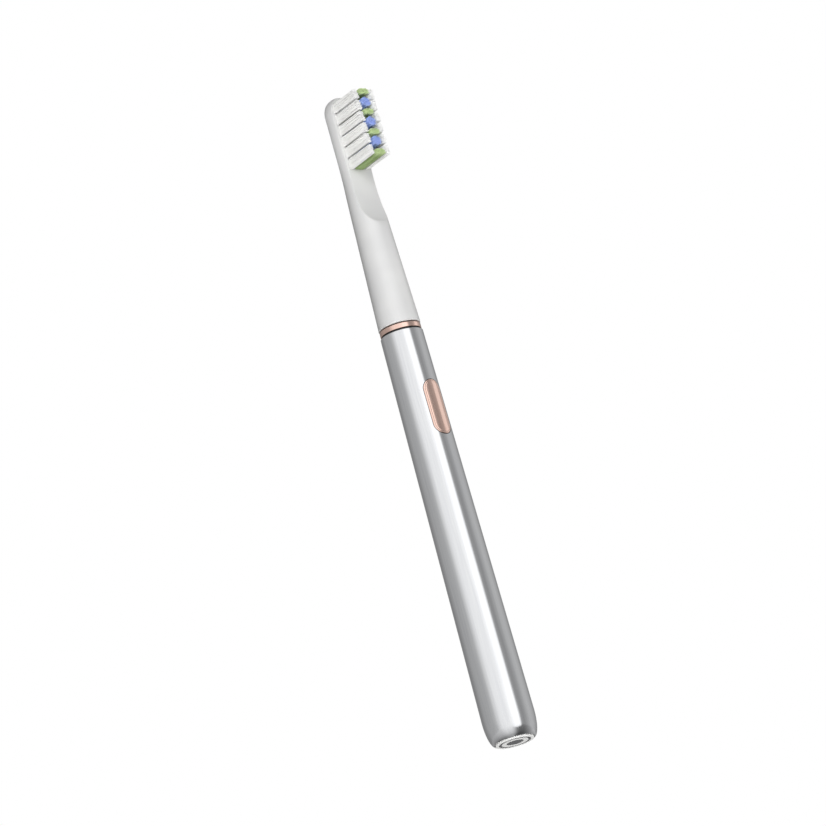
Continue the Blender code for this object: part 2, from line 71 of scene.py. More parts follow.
# ---- Studio ----
# Tall soft boxes stand round the brush: a broad white one in front, a light grey one beside it, dark flags
# between them and grey walls behind. They are painted on the world as bands by compass angle, so that metal
# shows them.
def linear(hex_colour):
    """An sRGB hex colour as linear RGBA."""
    parts = [int(hex_colour[i:i + 2], 16) / 255 for i in (1, 3, 5)]
    return [c / 12.92 if c <= 0.04045 else ((c + 0.055) / 1.055) ** 2.4 for c in parts] + [1.0]


def add_node(tree, kind, inputs=None, **settings):
    """Adds a node, sets its settings, and links or sets each input that is given."""
    node = tree.nodes.new(kind)
    for key, value in settings.items():
        setattr(node, key, value)
    for key, value in (inputs or {}).items():
        if isinstance(value, bpy.types.NodeSocket):
            tree.links.new(value, node.inputs[key])
        else:
            node.inputs[key].default_value = value
    return node


def set_stops(ramp, stops):
    """Gives a colour ramp its (position, colour) stops."""
    while len(ramp.color_ramp.elements) > 1:
        ramp.color_ramp.elements.remove(ramp.color_ramp.elements[-1])
    for i, (position, colour) in enumerate(stops):
        stop = ramp.color_ramp.elements[0] if i == 0 else ramp.color_ramp.elements.new(position)
        stop.position = position
        stop.color = linear(colour)


# Each band edge is an angle from the camera's side of the brush, in degrees, and the sRGB grey that starts
# there. The upper bands reach down to about 10 degrees below level, where the white box ends in a round lower
# edge.
upper_bands = [(-180, "#8a8a8a"), (-166, "#808080"), (-144, "#787878"), (-130, "#828282"),
               (-108, "#969696"), (-76, "#9d9d9d"), (-60, "#a8a8a8"), (-48, "#c5c5c5"), (-36, "#dbdbdb"),
               (-24, "#e2e2e2"), (0, "#e4e4e4"), (10, "#ebebeb"), (22, "#ffffff"), (45, "#ffffff"),
               (54, "#8e8e8e"), (68, "#868686"), (84, "#989898"), (96, "#a7a7a7"), (112, "#aaaaaa"),
               (134, "#9c9c9c"), (146, "#8a8a8a"), (160, "#808080"), (180, "#808080")]
lower_bands = [(-180, "#a0a0a0"), (-150, "#929292"), (-120, "#989898"), (-84, "#a8a8a8"), (-48, "#c0c0c0"),
               (-24, "#e0e0e0"), (2, "#e2e2e2"), (14, "#c8c8c8"), (26, "#8c8c8c"), (38, "#6a6a6a"),
               (62, "#6a6a6a"), (88, "#8c8c8c"), (120, "#b0b0b0"), (180, "#a0a0a0")]
soft_box_gain = 1.35
# The white box's round foot: its middle and half width by compass angle, its lowest edge, bow and corners.
box_middle, box_reach, box_foot, box_bow, box_corner = (math.radians(a) for a in (26, 20, -13.5, 2.865, -8))
floor_z = -0.75
world = bpy.data.worlds.new("studio")
world.use_nodes = True
bpy.context.scene.world = world
sky = world.node_tree
sky.nodes.clear()
direction = add_node(sky, "ShaderNodeTexCoord")
turned_to_camera = add_node(sky, "ShaderNodeVectorRotate", {"Vector": direction.outputs["Generated"],
                                                           "Angle": -camera_azimuth}, rotation_type="Z_AXIS")
part_xyz = add_node(sky, "ShaderNodeSeparateXYZ", {"Vector": turned_to_camera.outputs[0]})
towards_camera = add_node(sky, "ShaderNodeMath", {0: part_xyz.outputs["Y"], 1: -1.0}, operation="MULTIPLY")
compass = add_node(sky, "ShaderNodeMath", {0: part_xyz.outputs["X"], 1: towards_camera.outputs[0]},
                   operation="ARCTAN2")
band_place = add_node(sky, "ShaderNodeMapRange", {"Value": compass.outputs[0], "From Min": -math.pi,
                                                 "From Max": math.pi})
upper, lower = (add_node(sky, "ShaderNodeValToRGB", {"Fac": band_place.outputs[0]}) for _ in range(2))
for ramp, stops in ((upper, upper_bands), (lower, lower_bands)):
    set_stops(ramp, [(angle / 360 + 0.5, colour) for angle, colour in stops])
elevation = add_node(sky, "ShaderNodeMath", {0: part_xyz.outputs["Z"]}, operation="ARCSINE")
from_middle = add_node(sky, "ShaderNodeMath", {0: compass.outputs[0], 1: 1 / box_reach,
                                                2: -box_middle / box_reach}, operation="MULTIPLY_ADD")
bow = add_node(sky, "ShaderNodeMath", {0: from_middle.outputs[0], 1: from_middle.outputs[0]},
               operation="MULTIPLY")
edge = add_node(sky, "ShaderNodeMath", {0: bow.outputs[0], 1: box_bow, 2: box_foot}, operation="MULTIPLY_ADD")
edge_cap = add_node(sky, "ShaderNodeMath", {0: edge.outputs[0], 1: box_corner}, operation="MINIMUM")
over_edge = add_node(sky, "ShaderNodeMath", {0: elevation.outputs[0], 1: edge_cap.outputs[0]},
                     operation="SUBTRACT")
is_upper = add_node(sky, "ShaderNodeMapRange",
                    {"Value": over_edge.outputs[0], "From Min": -0.012, "From Max": 0.012})
bands = add_node(sky, "ShaderNodeMix", {"Factor": is_upper.outputs[0], 6: lower.outputs["Color"],
                                       7: upper.outputs["Color"]}, data_type="RGBA")
above = add_node(sky, "ShaderNodeMapRange", {"Value": part_xyz.outputs["Z"], "From Min": floor_z,
                                            "From Max": -0.15, "To Min": 0.4 * soft_box_gain,
                                            "To Max": soft_box_gain})
lit = add_node(sky, "ShaderNodeVectorMath", {0: bands.outputs[2], 1: above.outputs[0]}, operation="MULTIPLY")
seen = add_node(sky, "ShaderNodeLightPath")
behind = add_node(sky, "ShaderNodeMapRange", {"Value": part_xyz.outputs["Y"], "From Min": 0.4,
                                             "From Max": 1.0, "To Min": 0.02, "To Max": 0.7})
ambient = add_node(sky, "ShaderNodeMix", {"Factor": seen.outputs["Is Diffuse Ray"], 6: lit.outputs[0],
                                         7: behind.outputs[0]}, data_type="RGBA")
backdrop = add_node(sky, "ShaderNodeMix", {"Factor": seen.outputs["Is Camera Ray"], 6: ambient.outputs[2],
                                          7: (1, 1, 1, 1)}, data_type="RGBA")
glow = add_node(sky, "ShaderNodeBackground", {"Color": backdrop.outputs[2], "Strength": 1.0})
add_node(sky, "ShaderNodeOutputWorld", {"Surface": glow.outputs[0]})

# Area lights that the metal doesn't mirror: a key above the camera, a fill from the right and a low one for
# the end cap. Two more each light only the pieces in their own collection: the tufts' side, and the polished
# rose gold.
far_lamp, low_lamp = 1.6, 0.7
tuft_side, gold_pieces = (bpy.data.collections.new(name) for name in ("lit_tufts", "lit_gold"))
for name, azimuth, light_elevation, size, power, receivers in (("key", -44, 16, 1.2, 22.5, None),
                                                               ("fill", 65, 4, 1.2, 10.5, None),
                                                               ("low", -45, -68, 0.8, 4.5, None),
                                                               ("tuft_side", -95, 5, 1.0, 1.5, tuft_side),
                                                               ("gold_sheen", 60, 14, 0.7, 0.6, gold_pieces)):
    lamp = bpy.data.lights.new(name, "AREA")
    lamp.shape, lamp.size, lamp.energy = "SQUARE", size, power
    light = bpy.data.objects.new(name, lamp)
    a, e = math.radians(azimuth), math.radians(light_elevation)
    towards = Vector((math.sin(a) * math.cos(e), -math.cos(a) * math.cos(e), math.sin(e)))
    light.location = Vector((0, 0, 0.1)) + towards * (low_lamp if light_elevation < 0 else far_lamp)
    light.rotation_mode = "QUATERNION"
    light.rotation_quaternion = towards.to_track_quat("Z", "Y")
    light.visible_camera = False
    light.visible_glossy = receivers is gold_pieces
    light.light_linking.receiver_collection = receivers
    bpy.context.scene.collection.objects.link(light)


def new_material(name, **settings):
    """A material with its Principled shader's own sockets set. Colours are sRGB hex."""
    material = bpy.data.materials.new(name)
    material.use_nodes = True
    shader = material.node_tree.nodes["Principled BSDF"]
    for key, value in settings.items():
        socket = shader.inputs[key.replace("_", " ").title().replace("Ior", "IOR")]
        socket.default_value = linear(value) if isinstance(value, str) else value
    return material, material.node_tree, shader


def floor_sheet():
    mesh = bpy.data.meshes.new("studio_floor")
    bm = bmesh.new()
    bmesh.ops.create_grid(bm, x_segments=1, y_segments=1, size=12)
    bm.to_mesh(mesh)
    bm.free()
    mesh.transform(Matrix.Translation((0, 0, floor_z)))
    return mesh


# Matte white paint. The camera sees it evenly lit, as under a whole ceiling of lamps, but it throws little
# light up.
floor_paint, tree, shader = new_material("matte_white_floor_paint", base_color="#808080", roughness=0.8)
floor_seen = add_node(tree, "ShaderNodeLightPath").outputs["Is Camera Ray"]
shader.inputs["Emission Color"].default_value = linear("#f2f2f2")
tree.links.new(floor_seen, shader.inputs["Emission Strength"])
floor = bpy.data.objects.new("studio_floor", floor_sheet())
floor.data.materials.append(floor_paint)
floor.visible_glossy = False
bpy.context.scene.collection.objects.link(floor)


# ---- Handle tube ----
# One drawn aluminium tube, tapered towards the neck and spun to a round shoulder at the bottom, with a slot
# milled for the button. It is brushed along its length, then satin anodised in its natural silver.
tube_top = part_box("handle_tube")[1].z / MM
tube_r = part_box("handle_tube")[1].x / MM
tube_top_r = 6.52
tube_wall = 0.8
shoulder_z, shoulder_in, shoulder_h = 8.0, 2.0, 7.7
cap_bore_r, cap_bore_top = 6.15, 5.5
slot_half_w, slot_half_l, slot_z = 3.37, 8.87, 103.5


def filleted(corners, steps=5, flat=0.03):
    """Turns (radius, height, fillet) corners into points, with each fillet as a smooth curve. A short flat
    beyond each fillet keeps the shading of a long straight side level."""
    points = []
    for i, (radius, height, fillet) in enumerate(corners):
        corner = Vector((radius, height))
        if not fillet:
            points.append(tuple(corner))
            continue
        sides = [Vector(corners[k % len(corners)][:2]) - corner for k in (i - 1, i + 1)]
        before, after = (corner + side.normalized() * fillet for side in sides)
        curve = [before * (1 - t) ** 2 + corner * 2 * t * (1 - t) + after * t ** 2
                 for t in (step / steps for step in range(steps + 1))]
        flats = [[corner + side.normalized() * (fillet + flat)] if side.length > 2 * fillet + 4 * flat else []
                 for side in sides]
        points += [tuple(point) for point in flats[0] + curve + flats[1]]
    return points


def add_piece(name, mesh, material, sharp=32):
    """Puts a finished mesh in the scene, smooth except along edges sharper than the given angle."""
    if sharp:
        mesh.shade_smooth()
        mesh.set_sharp_from_angle(angle=math.radians(sharp))
    mesh.materials.clear()
    mesh.materials.append(material)
    piece = bpy.data.objects.new(name, mesh)
    bpy.context.scene.collection.objects.link(piece)
    return piece


def mesh_from(bm, name):
    """Turns a bmesh's faces outwards and makes a mesh of it."""
    bmesh.ops.recalc_face_normals(bm, faces=bm.faces)
    mesh = bpy.data.meshes.new(name)
    bm.to_mesh(mesh)
    bm.free()
    return mesh


def ring_skin(name, rings):
    """A closed skin over rings of points, in mm. A ring of one point is a pole; open ends join up."""
    bm = bmesh.new()
    rows = [[bm.verts.new(Vector(p) * MM) for p in ring] for ring in rings]
    pairs = list(zip(rows, rows[1:]))
    if len(rows[0]) > 1 and len(rows[-1]) > 1:
        pairs.append((rows[-1], rows[0]))
    for upper, lower in pairs:
        count = max(len(upper), len(lower))
        for i in range(count):
            j = (i + 1) % count
            around = [upper[i % len(upper)], upper[j % len(upper)], lower[j % len(lower)],
                      lower[i % len(lower)]]
            bm.faces.new(list(dict.fromkeys(around)))
    return mesh_from(bm, name)


def turned(name, profile, steps=128):
    """A profile of (radius, height) points in mm, turned about Z."""
    rings = []
    for radius, height in profile:
        if radius < 1e-6:
            rings.append([(0, 0, height)])
        else:
            turns = (2 * math.pi * (i + 0.5) / steps for i in range(steps))
            rings.append([(radius * math.sin(a), -radius * math.cos(a), height) for a in turns])
    return ring_skin(name, rings)


def cut_away(mesh, cutter_mesh):
    """The mesh with the cutter's shape taken out of it."""
    target = bpy.data.objects.new("being_cut", mesh)
    cutter = bpy.data.objects.new("cutter", cutter_mesh)
    for obj in (target, cutter):
        bpy.context.scene.collection.objects.link(obj)
    cut = target.modifiers.new("cut", "BOOLEAN")
    cut.object, cut.operation, cut.solver = cutter, "DIFFERENCE", "EXACT"
    bpy.context.view_layer.update()
    result = bpy.data.meshes.new_from_object(target.evaluated_get(bpy.context.evaluated_depsgraph_get()))
    result.name = mesh.name
    for obj in (target, cutter):
        bpy.data.objects.remove(obj)
    return result


def pill_outline(half_w, half_l, z_centre, inset=0.0, steps=32):
    """Points (x, z) round a slot with round ends, in mm."""
    points = []
    reach = half_l - half_w
    for end, start in ((1, 0.0), (-1, math.pi)):
        for step in range(steps + 1):
            a = start + math.pi * step / steps
            points.append(((half_w - inset) * math.cos(a),
                           z_centre + end * reach + (half_w - inset) * math.sin(a)))
    return points


def pill_block(half_w, half_l, z_centre, y_front, y_back):
    """A solid with a slot's outline between two depths."""
    outline = pill_outline(half_w, half_l, z_centre)
    bm = bmesh.new()
    rows = [[bm.verts.new(Vector((x, y, z)) * MM) for x, z in outline] for y in (y_front, y_back)]
    for i in range(len(outline)):
        j = (i + 1) % len(outline)
        bm.faces.new((rows[0][i], rows[0][j], rows[1][j], rows[1][i]))
    for row in rows:
        bm.faces.new(row)
    return mesh_from(bm, "pill_block")


def grained(name, dark, light, gloss, sizes, depth, detail=3.0, strength=0.3, **settings):
    """A material whose shade, gloss and surface waver with a noise of a real size along each axis, in mm."""
    material, tree, shader = new_material(name, base_color=light, roughness=gloss[0], **settings)
    place = add_node(tree, "ShaderNodeTexCoord").outputs["Object"]
    drawn = add_node(tree, "ShaderNodeMapping",
                     {"Vector": place, "Scale": [1 / (size * MM) for size in sizes]})
    grain = add_node(tree, "ShaderNodeTexNoise", {"Vector": drawn.outputs[0], "Scale": 1.0, "Detail": detail})
    tint = add_node(tree, "ShaderNodeValToRGB", {"Fac": grain.outputs["Fac"]})
    set_stops(tint, [(0.3, dark), (0.7, light)])
    shine = add_node(tree, "ShaderNodeMapRange", {"Value": grain.outputs["Fac"], "From Min": 0.3,
                                                 "From Max": 0.7, "To Min": gloss[0], "To Max": gloss[1]})
    bumps = add_node(tree, "ShaderNodeBump", {"Height": grain.outputs["Fac"], "Strength": strength,
                                             "Distance": depth * MM})
    tree.links.new(tint.outputs["Color"], shader.inputs["Base Color"])
    tree.links.new(shine.outputs[0], shader.inputs["Roughness"])
    tree.links.new(bumps.outputs[0], shader.inputs["Normal"])
    return material


def tube_radius(z):
    return tube_r + (tube_top_r - tube_r) * (z - shoulder_z) / (tube_top - shoulder_z)


shoulder_lean = math.radians(79.9)
shoulder = []
for step in range(25):
    lean = shoulder_lean * step / 24
    step_in, step_down = shoulder_in * (1 - math.cos(lean)), shoulder_h * math.sin(lean)
    shoulder.append((tube_r - step_in, shoulder_z - step_down, 0))
tube_profile = filleted([(tube_top_r, tube_top, 0.15), *shoulder, (cap_bore_r, shoulder[-1][1], 0.05),
                         (cap_bore_r, cap_bore_top, 0), (tube_r - tube_wall, cap_bore_top + 1, 0),
                         (tube_r - tube_wall, shoulder_z, 0), (tube_top_r - tube_wall, tube_top, 0.1)])

# Satin anodised aluminium, brushed along the tube: a soft mirror whose gloss wavers in fine upright lines.
# Real brush lines are about 0.05 mm apart, which is too fine to show, so they are drawn 0.3 mm apart and 25
# mm long.
aluminium = grained("satin_anodised_aluminium", "#dedfe2", "#e7e8e9", (0.11, 0.15), (0.3, 0.3, 25), 0.004,
                    detail=4.0, strength=0.12, metallic=1.0)

tube_mesh = cut_away(turned("handle_tube_skin", tube_profile, 256),
                     pill_block(slot_half_w, slot_half_l, slot_z, -9.0, -3.0))
tube = add_piece("handle_tube_skin", tube_mesh, aluminium)
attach(tube, "handle")
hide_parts("handle_tube")


# ---- Button ----
# A pill-shaped cap of aluminium, polished and anodised rose gold. It stands just proud of the tube, with a
# fine line cut round its face near the rim, and slides inwards on its lugs.
button_half_w, button_half_l = 3.25, 8.75
button_back_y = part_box("button_cap")[1].y / MM
button_proud = 0.15
rim_inset, rim_depth, rim_width = 0.55, 0.05, 0.09


def button_depth(inset):
    """How far the face lies below its crown at a distance in from the edge."""
    edge = 0.30
    fall = 0.28 * (1 - math.sqrt(max(0.0, 1 - (1 - min(inset, edge) / edge) ** 2)))
    return fall + rim_depth * math.exp(-((inset - rim_inset) / rim_width) ** 2)


def button_mesh():
    """Rings of the pill's outline, from the middle of the face out to the rim and back to the rear face."""
    insets = [3.2, 2.6, 2.0, 1.4, 1.0, 0.8, 0.7, 0.64, 0.6, 0.55, 0.5, 0.46, 0.4, 0.3, 0.24, 0.18, 0.12, 0.08,
              0.05, 0.02, 0.005, 0.0]
    bm = bmesh.new()
    rows = []
    for inset in insets:
        row = []
        for x, z in pill_outline(button_half_w, button_half_l, slot_z, inset):
            y = -math.sqrt((tube_radius(z) + button_proud) ** 2 - x * x) + button_depth(inset)
            row.append(bm.verts.new(Vector((x, y, z)) * MM))
        rows.append(row)
    outline = pill_outline(button_half_w, button_half_l, slot_z)
    rows.append([bm.verts.new(Vector((x, button_back_y, z)) * MM) for x, z in outline])
    for upper, lower in zip(rows, rows[1:]):
        for i in range(len(upper)):
            j = (i + 1) % len(upper)
            bm.faces.new((upper[i], upper[j], lower[j], lower[i]))
    for row in (rows[0], rows[-1]):
        bmesh.ops.triangulate(bm, faces=[bm.faces.new(row)])
    return mesh_from(bm, "button_face")


# Rose gold anodised aluminium, polished: a warm mirror with faint upright polishing lines 0.25 mm apart.
rose_gold = grained("rose_gold_anodised_aluminium", "#efcabb", "#f6d6c9", (0.16, 0.24), (0.25, 0.25, 10),
                    0.004,
                    strength=0.1, metallic=1.0)

button = add_piece("button_face", button_mesh(), rose_gold)
gold_pieces.objects.link(button)
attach(button, "button")
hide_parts("button_cap")


# ---- Neck ring and its gasket ----
# A polished ring, anodised like the button, seats on a thin black rubber gasket at the top of the tube. The
# brush head's lower edge stops just above it.
ring_low, ring_high = (corner.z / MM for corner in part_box("neck_ring"))
ring_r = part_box("neck_ring")[1].x / MM
ring_bore = 4.7
ring_profile = filleted([(ring_r, ring_high, 0.18), (ring_r, ring_low, 0.15), (ring_bore, ring_low, 0.1),
                         (ring_bore, ring_high, 0.1)])
neck_ring = add_piece("neck_ring_polished", turned("neck_ring_polished", ring_profile, 192), rose_gold)
gold_pieces.objects.link(neck_ring)
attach(neck_ring, "handle")
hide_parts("neck_ring")

# Black nitrile rubber, moulded: dull, with a faint grain about 0.1 mm across.
rubber = grained("moulded_black_rubber", "#232324", "#313132", (0.5, 0.5), (0.1, 0.1, 0.1), 0.01, detail=2.0)

gasket_low, gasket_high = (corner.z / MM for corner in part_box("ring_gasket"))
gasket_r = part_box("ring_gasket")[1].x / MM
gasket_profile = filleted([(gasket_r, gasket_high, 0.1), (gasket_r, gasket_low, 0.1),
                           (ring_bore, gasket_low, 0.05),
                           (ring_bore, gasket_high, 0.05)], 3)
gasket = add_piece("ring_gasket_lip", turned("ring_gasket_lip", gasket_profile), rubber)
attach(gasket, "handle")
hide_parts("ring_gasket")


# ---- Brush head shell ----
# One injection moulding in light grey gloss plastic: a round neck that tapers up from its skirt, a flat scoop
# cut into its front, and a plate with a round tip. Moulded holes hold the tufts, and a socket takes the
# shaft.
head_low, head_high = (corner.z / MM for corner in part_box("head_shell"))
head_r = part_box("head_shell")[1].x / MM
neck_slope, neck_top, plate_z, plate_r, tip_start = 0.0323, 176.0, 188.0, 5.35, 199.6
plate_front, plate_back = -1.75, 1.9
scoop_front, scoop_low, scoop_pull, scoop_high = -5.45, 163.5, 167.1, 175.0
socket_mouth_r, socket_r, socket_top = 4.9, 2.8, 152.4


def smooth_step(t):
    t = min(1.0, max(0.0, t))
    return t * t * (3 - 2 * t)


def head_radius(z):
    """Radius of the head's round body: a tapered neck, a slightly wider plate and an elliptical tip."""
    neck = head_r - neck_slope * (z - head_low)
    radius = neck + (plate_r - neck) * smooth_step((z - neck_top) / (plate_z - neck_top))
    if z > tip_start:
        radius *= math.sqrt(max(0.0, 1 - ((z - tip_start) / (head_high - tip_start)) ** 2))
    return radius


def front_limit(z):
    """Depth of the scoop's face, a quadratic curve that flattens into the plate."""
    if z <= scoop_low:
        return scoop_front - (scoop_low - z)
    if z >= scoop_high:
        return plate_front
    bend, rise = scoop_low - 2 * scoop_pull + scoop_high, 2 * (scoop_pull - scoop_low)
    t = (math.sqrt(rise ** 2 + 4 * bend * (z - scoop_low)) - rise) / (2 * bend)
    return scoop_front * (1 - t) ** 2 + plate_front * (1 - (1 - t) ** 2)


def head_ring(z, steps=192):
    """One section of the head: a circle whose front and back are planed off, with softened edges."""
    radius, front = head_radius(z), front_limit(z)
    back = 5.5 + (plate_back - 5.5) * smooth_step((z - 165) / 23)
    crisp, soft = 0.08, 0.5
    ring = []
    for i in range(steps):
        a = 2 * math.pi * (i + 0.5) / steps
        x, y = radius * math.sin(a), -radius * math.cos(a)
        y = (y + front + math.sqrt((y - front) ** 2 + crisp ** 2)) / 2
        y = (y + back - math.sqrt((y - back) ** 2 + soft ** 2)) / 2
        ring.append((x, y, z))
    return ring


def round_ring(radius, z, steps=192):
    return [(radius * math.sin(a), -radius * math.cos(a), z)
            for a in (2 * math.pi * (i + 0.5) / steps for i in range(steps))]


head_heights = [head_high - (head_high - tip_start) * (1 - math.cos(math.pi / 2 * i / 28))
                for i in range(1, 28)]
head_heights += [tip_start - i * (tip_start - scoop_low) / 90 for i in range(91)]
head_heights += [scoop_low - i * (scoop_low - head_low - 0.3) / 12 for i in range(1, 13)]
head_rings = [[(0, (plate_front + plate_back) / 2, head_high)]] + [head_ring(z) for z in head_heights]
head_rings += [round_ring(r, z) for r, z in filleted([(head_r - 0.005, head_low + 0.3, 0),
                                                      (head_r, head_low, 0.25),
                                                      (socket_mouth_r, head_low, 0.15),
                                                      (socket_mouth_r, head_low + 1.5, 0.3),
                                                      (socket_r, head_low + 3.2, 0.3),
                                                      (socket_r, socket_top, 0.2),
                                                      (0, socket_top, 0)])[1:-1]]
head_rings.append([(0, 0, socket_top)])

# Light grey gloss ABS, injection moulded: a clear even gloss over a bright body colour. Under the gloss, the
# mould's fine spark texture, about 0.4 mm across, only wavers the shine.
head_plastic, tree, shader = new_material("light_grey_gloss_abs", base_color="#dedede", roughness=0.2,
                                          ior=1.53)
place = add_node(tree, "ShaderNodeTexCoord").outputs["Object"]
mottle = add_node(tree, "ShaderNodeTexNoise", {"Vector": place, "Scale": 1 / 0.0004, "Detail": 3.0})
gloss = add_node(tree, "ShaderNodeMapRange", {"Value": mottle.outputs["Fac"], "To Min": 0.16, "To Max": 0.24})
flow = add_node(tree, "ShaderNodeTexNoise", {"Vector": place, "Scale": 1 / 0.012, "Detail": 2.0})
tint = add_node(tree, "ShaderNodeValToRGB", {"Fac": flow.outputs["Fac"]})
set_stops(tint, [(0.3, "#dadada"), (0.7, "#e2e2e1")])
bumps = add_node(tree, "ShaderNodeBump", {"Height": mottle.outputs["Fac"], "Strength": 0.08,
                                          "Distance": 0.00001})
tree.links.new(tint.outputs["Color"], shader.inputs["Base Color"])
tree.links.new(gloss.outputs[0], shader.inputs["Roughness"])
tree.links.new(bumps.outputs[0], shader.inputs["Normal"])

tuft_lean = math.radians(4.2)
tuft_root = 2.0
tuft_kinds = {  # columns, column spacing, tufts, pitch, first height, width, depth, free length, corner limit
    "white": (2, 6.4, 6, 3.6, 183.45, 1.5, 2.95, 10.4, 1.5),
    "green": (1, 0.0, 4, 6.55, 182.65, 3.6, 1.6, 10.7, 1.25),
    "blue": (1, 0.0, 3, 6.3, 186.3, 3.4, 2.9, 10.5, 1.0),
}


def hole_cutter():
    """Every tuft's blind hole, as a many-sided plug that leans with the tuft."""
    bm = bmesh.new()
    play, front = 0.06, 2.5
    turn = Matrix.Rotation(math.pi / 2 - tuft_lean, 4, "X")
    for columns, spacing, count, pitch, first, width, depth, _, corner in tuft_kinds.values():
        power = 6 if corner > 1.2 else 2.6 if corner > 1.05 else 2
        for column in range(columns):
            for row in range(count):
                centre = Vector(((column - (columns - 1) / 2) * spacing, plate_front, first + row * pitch))
                rings = []
                for z in (-tuft_root - play, front):
                    ring = []
                    for i in range(24):
                        a = 2 * math.pi * (i + 0.5) / 24
                        c, s = math.cos(a), math.sin(a)
                        reach = (abs(c) ** power + abs(s) ** power) ** (-1 / power)
                        local = Vector(((width / 2 + play) * reach * c, (depth / 2 + play) * reach * s, z))
                        ring.append(bm.verts.new((centre + turn @ local) * MM))
                    rings.append(ring)
                    bm.faces.new(ring)
                for i in range(24):
                    j = (i + 1) % 24
                    bm.faces.new((rings[0][i], rings[0][j], rings[1][j], rings[1][i]))
    return mesh_from(bm, "hole_cutter")


head = add_piece("head_shell_moulding", cut_away(ring_skin("head_shell_moulding", head_rings), hole_cutter()),
                 head_plastic, 40)
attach(head, "brush_head")
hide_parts("head_shell")


# ---- Bristle tufts ----
# Bundles of nylon filament, each folded over a metal staple and driven into its hole. Side columns are white
# and square. The middle column has green slim tufts and blue round ones in turn, 0.1 to 0.3 mm longer.
filament_r = 0.105
filament_gap = 0.215


